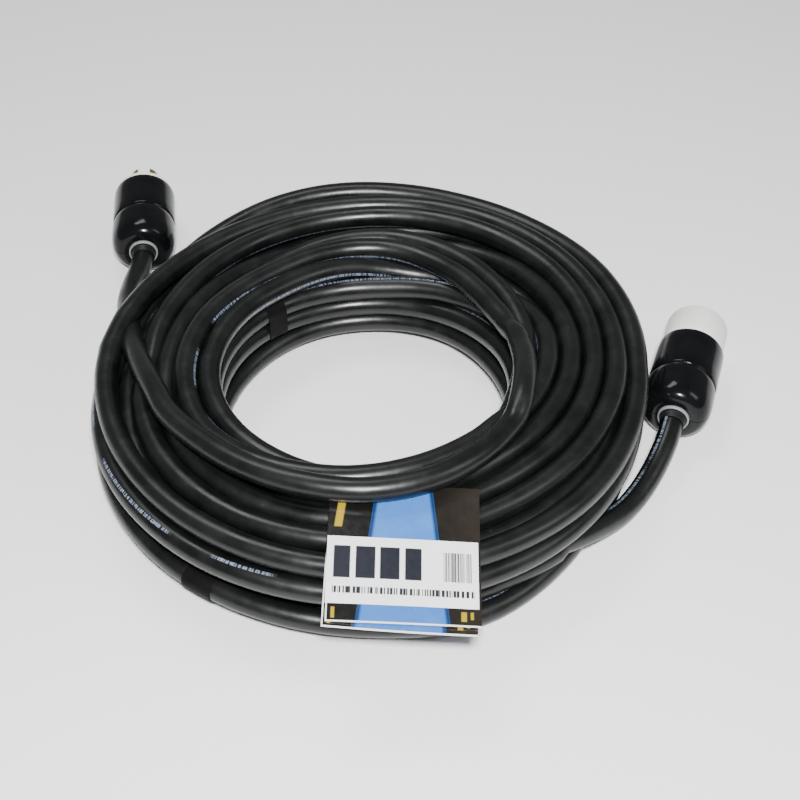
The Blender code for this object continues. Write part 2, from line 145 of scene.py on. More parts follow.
def arc_bar(name, radii_mm, half_angle, bottom, top, centre_angle, segments=16):
    angles = [math.radians(-centre_angle + half_angle * (2 * k / segments - 1)) for k in range(segments + 1)]
    ring = [(radii_mm[1] * MM * math.cos(a), radii_mm[1] * MM * math.sin(a)) for a in angles]
    ring += [(radii_mm[0] * MM * math.cos(a), radii_mm[0] * MM * math.sin(a)) for a in reversed(angles)]
    size = len(ring)
    verts = [(x, y, bottom * MM) for x, y in ring] + [(x, y, top * MM) for x, y in ring]
    faces = [(k, (k + 1) % size, size + (k + 1) % size, size + k) for k in range(size)]
    faces += [tuple(range(size)), tuple(range(size, 2 * size))]
    return mesh_of(name, verts, faces)


def joined(name, meshes):
    bm = bmesh.new()
    for mesh in meshes:
        bm.from_mesh(mesh)
    made = bpy.data.meshes.new(name)
    bm.to_mesh(made)
    bm.free()
    return made


def moved(mesh, matrix):
    mesh.transform(matrix)
    return mesh


def carve(obj, cutter_mesh, bevel=0.0):
    """Cuts the mesh out of obj, keeps the result as obj's own mesh, and softens its new edges."""
    cutter = add(obj.name + "_cutter", cutter_mesh, obj.matrix_world.copy())
    change = obj.modifiers.new("cut", "BOOLEAN")
    change.operation = "DIFFERENCE"
    change.solver = "EXACT"
    change.object = cutter
    bpy.context.view_layer.update()
    made = bpy.data.meshes.new_from_object(obj.evaluated_get(bpy.context.evaluated_depsgraph_get()))
    obj.modifiers.clear()
    obj.data = made
    bpy.data.objects.remove(cutter, do_unlink=True)
    made.shade_smooth()
    made.set_sharp_from_angle(angle=math.radians(32))
    if bevel:
        soften(obj, bevel)
    return obj


def soften(obj, width_mm, segments=2, angle=32):
    change = obj.modifiers.new("soften", "BEVEL")
    change.width = width_mm * MM
    change.segments = segments
    change.limit_method = "ANGLE"
    change.angle_limit = math.radians(angle)
    change.harden_normals = False


# ------------------------------------------------------------------------------------------ materials


class Nodes:
    """A Principled material built from short calls."""

    def __init__(self, name, colour, roughness, metallic=0.0):
        self.made = bpy.data.materials.new(name)
        self.made.use_nodes = True
        self.tree = self.made.node_tree
        self.shader = self.tree.nodes["Principled BSDF"]
        self.shader.inputs["Base Color"].default_value = (*colour, 1.0)
        self.shader.inputs["Roughness"].default_value = roughness
        self.shader.inputs["Metallic"].default_value = metallic
        self.coords = None

    def node(self, kind, **settings):
        made = self.tree.nodes.new(kind)
        for key, value in settings.items():
            setattr(made, key, value)
        return made

    def link(self, a, b):
        self.tree.links.new(a, b)

    def object_coords(self):
        if self.coords is None:
            self.coords = self.node("ShaderNodeTexCoord").outputs["Object"]
        return self.coords

    def noise(self, scale, detail=3.0, rough=0.55, stretch=None, coords=None):
        made = self.node("ShaderNodeTexNoise")
        made.inputs["Scale"].default_value = scale
        made.inputs["Detail"].default_value = detail
        made.inputs["Roughness"].default_value = rough
        source = coords if coords is not None else self.object_coords()
        if stretch is not None:
            mapping = self.node("ShaderNodeMapping")
            mapping.inputs["Scale"].default_value = stretch
            self.link(source, mapping.inputs["Vector"])
            source = mapping.outputs["Vector"]
        self.link(source, made.inputs["Vector"])
        return made.outputs["Fac"]

    def spread(self, value, low, high, out_low, out_high):
        made = self.node("ShaderNodeMapRange")
        made.clamp = True
        for key, number in (("From Min", low), ("From Max", high), ("To Min", out_low), ("To Max", out_high)):
            made.inputs[key].default_value = number
        self.link(value, made.inputs["Value"])
        return made.outputs["Result"]

    def maths(self, operation, a, b=0.0, c=0.0):
        made = self.node("ShaderNodeMath", operation=operation)
        for slot, value in zip(made.inputs, (a, b, c)):
            if isinstance(value, (int, float)):
                slot.default_value = value
            else:
                self.link(value, slot)
        return made.outputs["Value"]

    def mix(self, factor, a, b):
        made = self.node("ShaderNodeMix", data_type="RGBA")
        for key, value in ((0, factor), (6, a), (7, b)):
            if isinstance(value, (int, float)):
                made.inputs[key].default_value = value
            elif isinstance(value, tuple):
                made.inputs[key].default_value = (*value, 1.0)
            else:
                self.link(value, made.inputs[key])
        return made.outputs[2]

    def colour(self, value):
        self.link(value, self.shader.inputs["Base Color"])

    def rough(self, value):
        self.link(value, self.shader.inputs["Roughness"])

    def bump(self, height, strength, distance=0.0002, chain=None):
        made = self.node("ShaderNodeBump")
        made.inputs["Strength"].default_value = strength
        made.inputs["Distance"].default_value = distance
        self.link(height, made.inputs["Height"])
        if chain is not None:
            self.link(chain, made.inputs["Normal"])
        self.link(made.outputs["Normal"], self.shader.inputs["Normal"])
        return made.outputs["Normal"]

    def window(self, value, low, high, soft):
        """1 between low and high, with soft edges."""
        up = self.spread(value, low - soft, low + soft, 0.0, 1.0)
        down = self.spread(value, high - soft, high + soft, 1.0, 0.0)
        return self.maths("MULTIPLY", up, down)


def jacket_material():
    m = Nodes("jacket_rubber", (0.008, 0.009, 0.009), 0.40)
    uv = m.node("ShaderNodeUVMap", uv_map="along").outputs["UV"]
    split = m.node("ShaderNodeSeparateXYZ")
    m.link(uv, split.inputs[0])
    along, around = split.outputs["X"], split.outputs["Y"]
    broad = m.noise(38, 4, 0.6)
    fine = m.noise(900, 2, 0.6)
    base = m.mix(m.spread(broad, 0.35, 0.68, 0, 1), (0.0026, 0.0030, 0.0030), (0.0062, 0.0070, 0.0068))
    scuff = m.maths(
        "MULTIPLY", m.spread(m.noise(150, 5, 0.7), 0.60, 0.74, 0, 1), m.spread(broad, 0.45, 0.6, 0, 1)
    )
    base = m.mix(m.maths("MULTIPLY", scuff, 0.30), base, (0.030, 0.032, 0.032))
    # A printed line of short strokes runs along the jacket, broken into groups, and says nothing.
    stroke = m.noise(1.0, 1.0, 0.5, (620.0, 0.0, 0.0), uv)
    group = m.noise(1.0, 0.0, 0.5, (14.0, 0.0, 0.0), uv)
    lines = m.noise(1.0, 1.0, 0.5, (300.0, 160.0, 0.0), uv)
    band = m.window(around, 0.478, 0.522, 0.004)
    ink = m.maths("MULTIPLY", m.spread(stroke, 0.45, 0.50, 0, 1), m.spread(group, 0.42, 0.46, 0, 1))
    ink = m.maths("MULTIPLY", ink, m.spread(lines, 0.40, 0.46, 0, 1))
    ink = m.maths("MULTIPLY", ink, band)
    ink = m.maths("MULTIPLY", ink, m.spread(fine, 0.25, 0.5, 0.35, 1))
    m.colour(m.mix(m.maths("MULTIPLY", ink, 0.75), base, (0.26, 0.31, 0.42)))
    m.rough(m.spread(m.maths("ADD", broad, m.maths("MULTIPLY", scuff, 0.3)), 0.3, 0.9, 0.27, 0.46))
    grain = m.bump(fine, 0.16, 0.00008)
    m.bump(m.noise(60, 2, 0.5), 0.5, 0.0006, grain)
    m.shader.inputs["Specular IOR Level"].default_value = 0.42
    return m.made


def moulded(name, dark, light, low, high, grain, scale=420.0, worn=None, shine=0.5):
    m = Nodes(name, light, high)
    broad = m.noise(55, 4, 0.6)
    fine = m.noise(scale, 3, 0.6)
    tone = m.mix(m.spread(broad, 0.3, 0.7, 0, 1), dark, light)
    if worn is not None:
        specks = m.spread(m.noise(240, 6, 0.75), 0.62, 0.70, 0, 1)
        tone = m.mix(m.maths("MULTIPLY", specks, 0.5), tone, worn)
    m.colour(tone)
    m.rough(m.spread(m.noise(90, 5, 0.65), 0.3, 0.7, low, high))
    m.bump(fine, grain, 0.00012)
    m.shader.inputs["Specular IOR Level"].default_value = shine
    return m.made


def metal(name, dark, light, low, high):
    m = Nodes(name, light, high, 1.0)
    streaks = m.noise(30, 5, 0.7, (1.0, 1.0, 14.0))
    m.colour(m.mix(m.spread(streaks, 0.3, 0.7, 0, 1), dark, light))
    m.rough(m.spread(m.noise(160, 4, 0.6), 0.3, 0.7, low, high))
    m.bump(m.noise(300, 3, 0.6, (1.0, 1.0, 9.0)), 0.15, 0.00006)
    return m.made


def card_material():
    """Printed card: a dark ground, a pale panel with darker edges, and a few plain bars."""
    m = Nodes("tag_card_print", (0.05, 0.055, 0.06), 0.3)
    uv = m.node("ShaderNodeUVMap", uv_map="sheet").outputs["UV"]
    split = m.node("ShaderNodeSeparateXYZ")
    m.link(uv, split.inputs[0])
    u, v = split.outputs["X"], split.outputs["Y"]
    ground = m.mix(m.spread(u, 0.55, 1.0, 0, 1), (0.0035, 0.0035, 0.0032), (0.020, 0.015, 0.011))
    ground = m.mix(m.spread(m.noise(45, 4, 0.6), 0.3, 0.7, 0, 0.5), ground, (0.010, 0.009, 0.008))
    # The panel widens downwards: how far a point is from the middle against the half width there.
    half = m.spread(v, 0.0, 1.0, 0.185, 0.305)
    off = m.maths("ABSOLUTE", m.maths("SUBTRACT", u, 0.495))
    depth = m.maths("SUBTRACT", half, off)
    inside = m.spread(depth, -0.002, 0.002, 0, 1)
    rim = m.maths("MULTIPLY", inside, m.spread(depth, 0.014, 0.034, 1, 0))
    panel = m.mix(m.spread(v, 0.0, 0.9, 0, 1), (0.048, 0.170, 0.500), (0.038, 0.140, 0.430))
    panel = m.mix(m.spread(m.noise(70, 3, 0.6), 0.35, 0.7, 0, 0.35), panel, (0.070, 0.230, 0.600))
    tone = m.mix(inside, ground, panel)
    tone = m.mix(rim, tone, (0.006, 0.030, 0.110))
    lean = m.maths("ADD", u, m.maths("MULTIPLY", v, 0.12))
    bar = m.maths("MULTIPLY", m.window(lean, 0.075, 0.125, 0.004), m.window(v, 0.04, 0.33, 0.004))
    for left, right, top, bottom in (
        (0.035, 0.058, 0.90, 0.975),
        (0.870, 0.905, 0.90, 0.965),
        (0.930, 0.950, 0.90, 0.950),
    ):
        bar = m.maths(
            "MAXIMUM", bar, m.maths("MULTIPLY", m.window(u, left, right, 0.003), m.window(v, top, bottom, 0.003))
        )
    tone = m.mix(bar, tone, (0.34, 0.24, 0.012))
    edge = m.maths(
        "MAXIMUM",
        m.spread(v, 0.988, 0.991, 0, 1),
        m.maths("MULTIPLY", m.spread(u, 0.008, 0.011, 1, 0), m.spread(v, 0.5, 0.6, 0, 1)),
    )
    m.colour(m.mix(edge, tone, (0.78, 0.78, 0.76)))
    m.rough(m.spread(m.noise(120, 4, 0.6), 0.3, 0.7, 0.16, 0.30))
    m.bump(m.noise(25, 2, 0.5), 0.25, 0.0005)
    return m.made


def label_material():
    """A white stuck-on label with plain blocks, a few bars and rows of small dashes, and no lettering."""
    m = Nodes("label_print", (0.9, 0.9, 0.9), 0.5)
    uv = m.node("ShaderNodeUVMap", uv_map="sheet").outputs["UV"]
    split = m.node("ShaderNodeSeparateXYZ")
    m.link(uv, split.inputs[0])
    u, v = split.outputs["X"], split.outputs["Y"]
    ink = None
    for left, right in ((0.045, 0.155), (0.190, 0.320), (0.350, 0.480), (0.515, 0.625)):
        block = m.maths("MULTIPLY", m.window(u, left, right, 0.003), m.window(v, 0.14, 0.62, 0.005))
        ink = block if ink is None else m.maths("MAXIMUM", ink, block)
    stripes = m.spread(m.noise(1.0, 0.0, 0.5, (150.0, 0.0, 0.0), uv), 0.485, 0.505, 0, 1)
    code = m.maths(
        "MULTIPLY", m.maths("MULTIPLY", m.window(u, 0.77, 0.955, 0.002), m.window(v, 0.18, 0.62, 0.004)), stripes
    )
    dashes = m.spread(m.noise(1.0, 1.0, 0.5, (62.0, 0.0, 0.0), uv), 0.47, 0.50, 0, 1)
    for low, high, left, right in ((0.745, 0.845, 0.04, 0.97),):
        row = m.maths("MULTIPLY", m.window(u, left, right, 0.002), m.window(v, low, high, 0.004))
        code = m.maths("MAXIMUM", code, m.maths("MULTIPLY", row, dashes))
    paper = m.mix(m.spread(m.noise(60, 5, 0.65), 0.3, 0.7, 0, 1), (0.80, 0.81, 0.82), (0.88, 0.885, 0.89))
    tone = m.mix(ink, paper, (0.0018, 0.0028, 0.0095))
    m.colour(m.mix(code, tone, (0.0045, 0.0055, 0.011)))
    m.rough(m.spread(m.noise(200, 4, 0.6), 0.3, 0.7, 0.38, 0.55))
    m.bump(m.noise(700, 2, 0.6), 0.12, 0.00005)
    return m.made


JACKET = jacket_material()
SHELL = moulded(
    "shell_nylon_gloss", (0.0020, 0.0022, 0.0026), (0.0045, 0.0048, 0.0056), 0.10, 0.20, 0.05, 600,
    (0.014, 0.015, 0.016), 0.22,
)
NYLON = moulded(
    "face_nylon_white", (0.76, 0.755, 0.73), (0.84, 0.835, 0.81), 0.30, 0.46, 0.10, 500, (0.66, 0.65, 0.61)
)
RELIEF = moulded("relief_rubber", (0.003, 0.0032, 0.0032), (0.007, 0.0075, 0.0075), 0.38, 0.55, 0.2)
GREY = moulded("grommet_grey", (0.16, 0.165, 0.17), (0.26, 0.265, 0.27), 0.28, 0.42, 0.2)
BRASS = metal("blade_brass", (0.60, 0.43, 0.17), (0.78, 0.60, 0.28), 0.20, 0.36)
STEEL = metal("screw_steel", (0.42, 0.42, 0.42), (0.66, 0.66, 0.65), 0.22, 0.40)
TAPE = moulded(
    "tape_vinyl_black", (0.0018, 0.0016, 0.0016), (0.0042, 0.0037, 0.0036), 0.55, 0.70, 0.25, 260, None, 0.10
)
CARD = card_material()
LABEL = label_material()
WIRE_FINISHES = {
    "black": moulded("wire_black_pvc", (0.010, 0.010, 0.010), (0.022, 0.022, 0.022), 0.35, 0.5, 0.1),
    "red": moulded("wire_red_pvc", (0.36, 0.02, 0.02), (0.50, 0.04, 0.03), 0.35, 0.5, 0.1),
    "blue": moulded("wire_blue_pvc", (0.02, 0.06, 0.28), (0.03, 0.10, 0.42), 0.35, 0.5, 0.1),
    "white": moulded("wire_white_pvc", (0.70, 0.70, 0.67), (0.82, 0.82, 0.80), 0.35, 0.5, 0.1),
    "green": moulded("wire_green_pvc", (0.02, 0.22, 0.05), (0.03, 0.34, 0.09), 0.35, 0.5, 0.1),
}

# ------------------------------------------------------------------------------------- device places

AXIS_HEIGHT = 27.9 * MM
DEVICES = {
    "plug": {"place": (-0.2390, 0.2510), "turn": 5.6},
    "connector": {"place": (0.2320, 0.0430), "turn": -17.4},
}
PLUG_TAIL_ROUTE = (
    (-0.2318, 0.1520, 0.0275), (-0.2345, 0.1280, 0.0300), (-0.2345, 0.1000, 0.0370), (-0.2300, 0.0680, 0.0470),
    (-0.2230, 0.0340, 0.0595), (-0.2140, 0.0000, 0.0715), (-0.2030, -0.0320, 0.0815), (-0.1905, -0.0620, 0.0885),
    (-0.1765, -0.0920, 0.0925),
)
CONNECTOR_TAIL_ROUTE = (
    (0.2015, -0.0530, 0.0250), (0.1915, -0.0740, 0.0195), (0.1790, -0.0945, 0.0140), (0.1640, -0.1145, 0.0125),
    (0.1465, -0.1335, 0.0175), (0.1265, -0.1520, 0.0260), (0.1035, -0.1690, 0.0330),
)


def device_matrix(name):
    spec = DEVICES[name]
    return (
        Matrix.Translation((*spec["place"], AXIS_HEIGHT))
        @ Matrix.Rotation(math.radians(spec["turn"]), 4, "Z")
        @ Matrix.Rotation(math.radians(-90), 4, "X")
    )


# --------------------------------------------------------------------------------------------- cord

DIAMETER = 18.3 * MM
DRAWN_RADIUS = 9.0 * MM
HALF = DIAMETER / 2
STEP = 9.0 * MM
COIL_CENTRE = np.array((-0.0335, -0.0250))
INNER_WALL = 0.1197
# How far out the turns reach, by the angle about the coil's axis: the bundle is broad and low at the back.
OUTER_ANGLES = (-180, -150, -45, -20, -5, 3, 10, 18, 28, 48, 64, 91, 101, 119, 134, 150, 165, 180)
OUTER_RADII = (
    0.2025, 0.2045, 0.2045, 0.2085, 0.211, 0.2115, 0.216, 0.2215, 0.230, 0.249, 0.256, 0.259, 0.257, 0.249, 0.237,
    0.2105, 0.2035, 0.2025,
)
LAYERS = (5, 5, 5, 5, 5, 1)
BACK_LAYERS = (7, 6, 7, 7)
BACK_PITCH = 20.4 * MM
LOOSENESS = (0.0015, 0.0020, 0.0040, 0.0045)
SLOT_PITCH = 18.9 * MM
LAYER_RISE = 16.0 * MM
# The last part turn lies on top, over the hang tag's fold: angle, radius and height of its points.
TOP_TURN = (
    (-141, 0.1525, 0.0962), (-126, 0.1515, 0.1000), (-110, 0.1520, 0.1028), (-90, 0.1530, 0.1034),
    (-72, 0.1500, 0.1028), (-58, 0.1440, 0.1008), (-45, 0.1385, 0.0985), (-31, 0.1340, 0.0960),
)


def outer_wall(angle):
    return np.interp(np.degrees(angle), OUTER_ANGLES, OUTER_RADII)


def smooth_route(points, step):
    """Points at even steps along a centripetal Catmull-Rom curve through the given points."""
    given = np.array(points, dtype=float)
    given = np.vstack([2 * given[0] - given[1], given, 2 * given[-1] - given[-2]])
    dense = []
    for p0, p1, p2, p3 in zip(given, given[1:], given[2:], given[3:]):
        knots = np.cumsum([0.0] + [math.sqrt(np.linalg.norm(b - a)) for a, b in ((p0, p1), (p1, p2), (p2, p3))])
        for t in np.linspace(knots[1], knots[2], 16, endpoint=False):
            a1 = p0 + (p1 - p0) * (t - knots[0]) / (knots[1] - knots[0])
            a2 = p1 + (p2 - p1) * (t - knots[1]) / (knots[2] - knots[1])
            a3 = p2 + (p3 - p2) * (t - knots[2]) / (knots[3] - knots[2])
            b1 = a1 + (a2 - a1) * (t - knots[0]) / (knots[2] - knots[0])
            b2 = a2 + (a3 - a2) * (t - knots[1]) / (knots[3] - knots[1])
            dense.append(b1 + (b2 - b1) * (t - knots[1]) / (knots[2] - knots[1]))
    return even(np.array(dense + [given[-2]]), step)


def even(points, step):
    run = np.concatenate([[0.0], np.cumsum(np.linalg.norm(np.diff(points, axis=0), axis=1))])
    marks = np.linspace(0.0, run[-1], max(2, round(run[-1] / step)) + 1)
    return np.stack([np.interp(marks, run, points[:, axis]) for axis in range(3)], axis=1)


def tail(name, route):
    matrix = device_matrix(name)
    inside = [tuple(matrix @ Vector((0, 0, z * MM))) for z in (-58, -71, -82)]
    return smooth_route(inside + list(route), STEP)


def wander(rng, count, knots, scale):
    """A smooth random walk: random values at the knots, eased between them."""
    values = rng.normal(0, scale, knots + 2)
    place = np.linspace(0, knots, count)
    k = place.astype(int)
    t = place - k
    t = t * t * (3 - 2 * t)
    return values[k] * (1 - t) + values[k + 1] * t


def stack(layers, pitch, rise):
    """The slots of a staggered stack, row by row from the floor, each row wound back the way of the one below."""
    slots = []
    for k, number in enumerate(layers):
        radii = INNER_WALL + 0.0003 + (pitch / 2 if k % 2 else 0) + pitch * np.arange(number)
        slots += [(r, HALF + k * rise) for r in (radii if k % 2 else radii[::-1])]
    return np.array(slots)


def matched(front, back, rng):
    """The back's slots in the order of the front's, so that every turn stays in about the same part of the stack."""

    def even_out(slots):
        return (slots - slots.min(axis=0)) / (slots.max(axis=0) - slots.min(axis=0))

    here, there = even_out(front), even_out(back)
    cost = ((here[:, None] - there[None]) ** 2).sum(axis=2)
    pick = np.arange(len(back))
    cost = np.vstack([cost, np.zeros((len(back) - len(front), len(back)))])
    for _ in range(40):
        changed = False
        for a in rng.permutation(len(back)):
            swap = cost[a, pick] + cost[np.arange(len(back)), pick[a]] - cost[a, pick[a]]
            swap -= cost[np.arange(len(back)), pick]
            b = int(np.argmin(swap))
            if swap[b] < -1e-9:
                pick[a], pick[b] = pick[b], pick[a]
                changed = True
        if not changed:
            break
    return back[pick[: len(front)]]


def wound(connector_end, plug_end, rng):
    """The turns as they were wound, one slot of a staggered stack for each turn, before they settle."""
    front = stack(LAYERS, SLOT_PITCH, LAYER_RISE)
    back = matched(front, stack(BACK_LAYERS, BACK_PITCH, LAYER_RISE), rng)
    first = math.atan2(*(connector_end[:2] - COIL_CENTRE)[::-1])
    last = math.atan2(*(plug_end[:2] - COIL_CENTRE)[::-1])
    total = 2 * math.pi * len(front) - (last - first) % (2 * math.pi)
    run = np.arange(0, total, STEP / 0.168)
    turn = np.minimum(run / (2 * math.pi), len(front) - 1.001)
    k = np.floor(turn).astype(int)
    blend = np.clip((turn - k - 0.55) / 0.45, 0, 1)
    blend = (blend * blend * (3 - 2 * blend))[:, None]
    after = np.minimum(k + 1, len(front) - 1)
    angle = (first - run + math.pi) % (2 * math.pi) - math.pi
    # Narrow and tall at the front, broad and low at the back, and eased from one to the other at the sides.
    share = np.interp(np.degrees(angle), [-180, -25, 65, 110, 178], [0, 0, 1, 1, 0])
    share = (share * share * (3 - 2 * share))[:, None]
    place = (front[k] * (1 - blend) + front[after] * blend) * (1 - share)
    place += (back[k] * (1 - blend) + back[after] * blend) * share
    loose = np.interp(turn, [0, 14, 19, 26], LOOSENESS)
    knots = int(total / (2 * math.pi) * 1.5)
    r = place[:, 0] + wander(rng, len(run), knots, 1.0) * loose
    z = place[:, 1] + wander(rng, len(run), knots, 0.5) * loose
    return np.stack(
        [COIL_CENTRE[0] + r * np.cos(angle), COIL_CENTRE[1] + r * np.sin(angle), np.maximum(z, HALF)], axis=1
    )


def fairing(points, stride):
    """How far each point is from a smooth course, judged over points stride apart."""
    n = len(points)
    bend = np.zeros_like(points)
    bend[stride : n - stride] = 0.5 * (points[2 * stride :] + points[: n - 2 * stride]) - points[stride : n - stride]
    fair = np.zeros_like(points)
    inner = slice(2 * stride, n - 2 * stride)
    fair[inner] = bend[inner] - 0.5 * (bend[stride : n - 3 * stride] + bend[3 * stride : n - stride])
    return fair


def settle(points, fixed, free_top, rounds=520):
    """Lets the turns sink and push each other apart until they lie side by side, the tails held where they are."""
    count = len(points)
    free = ~fixed
    capped = (np.arange(count) < count - free_top)[free]
    order = np.arange(count)
    for turn in range(rounds):
        if turn % 20 == 0:
            square = (points**2).sum(1)
            pairs = []
            for a in range(0, count, 512):
                b = min(count, a + 512)
                gap = square[a:b, None] + square[None] - 2 * points[a:b] @ points.T
                i, j = np.nonzero(gap < (DIAMETER + 11 * MM) ** 2)
                keep = j - (i + a) > 6
                pairs.append(np.stack([i[keep] + a, j[keep]], axis=1))
            one, two = np.concatenate(pairs).T
        along = np.gradient(points, axis=0)
        along /= np.linalg.norm(along, axis=1)[:, None]
        points[free, 2] -= 0.00006 * (1 - 0.7 * turn / rounds)
        points[free] += 0.24 * fairing(points, 1)[free]
        points[free] += 0.20 * fairing(points, 3)[free]
        points[free] += 0.08 * fairing(points, 6)[free]
        lift = 0.02 * max(0.0, 1 - turn / 160)
        for _ in range(2):
            apart = points[one] - points[two]
            slide = np.clip((apart * along[two]).sum(1), -0.62 * STEP, 0.62 * STEP)
            apart -= slide[:, None] * along[two]
            far = np.linalg.norm(apart, axis=1) + 1e-9
            hit = far < DIAMETER
            push = np.where(hit, 0.25 * (DIAMETER - far) / far, 0)[:, None] * apart
            share = np.maximum(np.bincount(one, hit, count) + np.bincount(two, hit, count), 1)
            for axis in range(3):
                move = np.bincount(one, push[:, axis], count) - np.bincount(two, push[:, axis], count)
                points[free, axis] += (2.2 * move / share)[free]
            # The walls of the space that the bundle fills, and its top.
            held = points[free]
            out = held[:, :2] - COIL_CENTRE
            r = np.hypot(out[:, 0], out[:, 1])
            around = np.arctan2(out[:, 1], out[:, 0])
            kept = np.clip(r, INNER_WALL, outer_wall(around))
            held[:, :2] = COIL_CENTRE + out * (kept / r)[:, None]
            back = 0.5 + 0.5 * np.sin(around)
            top = (1 - back) * np.interp(
                kept, [0.120, 0.134, 0.148, 0.192, 0.2045], [0.0905, 0.0905, 0.0800, 0.0740, 0.0640]
            )
            top += back * np.interp(kept, [0.120, 0.140, 0.250], [0.0760, 0.0720, 0.0640])
            held[:, 2] = np.maximum(np.where(capped, np.minimum(held[:, 2], top + lift), held[:, 2]), HALF)
            points[free] = held
        for start in (0, 1, 0, 1):
            a = order[start : count - 1 : 2]
            d = points[a + 1] - points[a]
            size = np.linalg.norm(d, axis=1)
            fix = (0.5 * (size - STEP) / size)[:, None] * d
            wa, wb = free[a].astype(float), free[a + 1].astype(float)
            both = np.maximum(wa + wb, 1)
            points[a] += fix * (2 * wa / both)[:, None]
            points[a + 1] -= fix * (2 * wb / both)[:, None]
    return points


def tube(name, points, radius, sides, rng):
    """A round tube along the points, with its length and the way round it kept as a UV map."""
    count = len(points)
    along = np.gradient(points, axis=0)
    along /= np.linalg.norm(along, axis=1)[:, None]
    side = np.cross(along[0], (0, 0, 1.0))
    side /= np.linalg.norm(side)
    sides_at = [side]
    for k in range(1, count):
        side = sides_at[-1] - np.dot(sides_at[-1], along[k]) * along[k]
        sides_at.append(side / np.linalg.norm(side))
    first = np.array(sides_at)
    second = np.cross(along, first)
    twist = np.cumsum(wander(rng, count, max(4, count // 60), 0.020))
    size = radius + wander(rng, count, count // 5, 0.00007)
    angle = 2 * math.pi * np.arange(sides) / sides
    turned = angle[None] + twist[:, None]
    rings = points[:, None] + size[:, None, None] * (
        np.cos(turned)[..., None] * first[:, None] + np.sin(turned)[..., None] * second[:, None]
    )
    verts = rings.reshape(-1, 3)
    k, s = np.meshgrid(np.arange(count - 1), np.arange(sides), indexing="ij")
    k, s = k.ravel(), s.ravel()
    n = (s + 1) % sides
    quads = np.stack([k * sides + s, k * sides + n, (k + 1) * sides + n, (k + 1) * sides + s], axis=1)
    mesh = bpy.data.meshes.new(name)
    loops = quads.size + 2 * sides
    mesh.vertices.add(len(verts))
    mesh.vertices.foreach_set("co", verts.ravel())
    mesh.loops.add(loops)
    caps = np.concatenate([np.arange(sides)[::-1], (count - 1) * sides + np.arange(sides)])
    mesh.loops.foreach_set("vertex_index", np.concatenate([quads.ravel(), caps]))
    mesh.polygons.add(len(quads) + 2)
    starts = np.concatenate([np.arange(len(quads)) * 4, [quads.size, quads.size + sides]])
    mesh.polygons.foreach_set("loop_start", starts)
    run = np.concatenate([[0.0], np.cumsum(np.linalg.norm(np.diff(points, axis=0), axis=1))])
    u = np.stack([run[k], run[k], run[k + 1], run[k + 1]], axis=1)
    v = np.stack([s, s + 1, s + 1, s], axis=1) / sides
    uv = np.concatenate([np.stack([u.ravel(), v.ravel()], axis=1), np.zeros((2 * sides, 2))])
    layer = mesh.uv_layers.new(name="along")
    layer.data.foreach_set("uv", uv.astype(np.float32).ravel())
    mesh.update(calc_edges=True)
    mesh.validate()
    mesh.shade_smooth()
    return mesh


def make_cord():
    rng = np.random.default_rng(5)
    over = [
        (COIL_CENTRE[0] + r * math.cos(math.radians(a)), COIL_CENTRE[1] + r * math.sin(math.radians(a)), z)
        for a, r, z in TOP_TURN
    ]
    plug = tail("plug", PLUG_TAIL_ROUTE + tuple(over))
    connector = tail("connector", CONNECTOR_TAIL_ROUTE)
    turns = wound(connector[-1], plug[-1], rng)
    points = even(np.vstack([connector, turns[3:-3], plug[::-1]]), STEP)
    count = len(points)
    fixed = np.zeros(count, bool)
    held_first, held_last = len(connector) - 1, len(plug) - 1
    fixed[:held_first] = fixed[count - held_last :] = True
    points[:held_first] = connector[:held_first]
    points[count - held_last :] = plug[:held_last][::-1]
    points = settle(points, fixed, held_last + 12)
    route = even(points[::-1], 8.0 * MM)
    cord = add("shore_cord", tube("shore_cord", route, DRAWN_RADIUS, 20, rng))
    cord.data.materials.append(JACKET)
    return cord, route


cord, cord_route = make_cord()

# ------------------------------------------------------------------------------------------- devices

BLADES = (("w", 45), ("x", 135), ("y", 225), ("z", 315))
BLADE_RADII = (11.7, 13.3)
POCKET_RADII = (11.0, 14.6)
FACE_SCREW_RADIUS = 19.2
CLAMP_SCREW = (18.4, -68.0)


def polar(radius_mm, angle):
    return radius_mm * MM * math.cos(math.radians(angle)), -radius_mm * MM * math.sin(math.radians(angle))


def finished(obj, finish, body, *nodes):
    obj.data.materials.clear()
    obj.data.materials.append(finish)
    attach(obj, body)
    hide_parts(*nodes)
    return obj


def screw_mesh(name, head_r, head_h, shank_r, shank_l):
    """A slotted pan-head screw whose head points along +z from z = 0."""
    dome = [(head_r * math.cos(a), 0.45 * head_h + 0.55 * head_h * math.sin(a)) for a in np.linspace(0, 1.35, 8)]
    outline = [(0.7 * shank_r, -shank_l), (shank_r, -shank_l + 0.6)]
    z = -shank_l + 0.9
    while z < -0.8:
        outline += [(shank_r, z), (0.84 * shank_r, z + 0.4)]
        z += 0.8
    outline += [(shank_r, -0.3), (shank_r, 0), (0.96 * head_r, 0), (head_r, 0.1)] + dome
    return lathe_solid(name, outline, 40, 30)


def make_screw(name, sizes, matrix, finish, body):
    head_r, head_h, shank_r, shank_l = sizes
    obj = add(name + "_fine", screw_mesh(name, head_r, head_h, shank_r, shank_l), matrix)
    bm = bmesh.new()
    bmesh.ops.create_cube(bm, size=1.0)
    bmesh.ops.scale(bm, vec=(3 * head_r * MM, 0.9 * MM, head_h * MM), verts=bm.verts[:])
    bmesh.ops.translate(bm, vec=(0, 0, 1.02 * head_h * MM), verts=bm.verts[:])
    slot = bpy.data.meshes.new("slot")
    bm.to_mesh(slot)
    bm.free()
    carve(obj, slot)
    return finished(obj, finish, body, name)


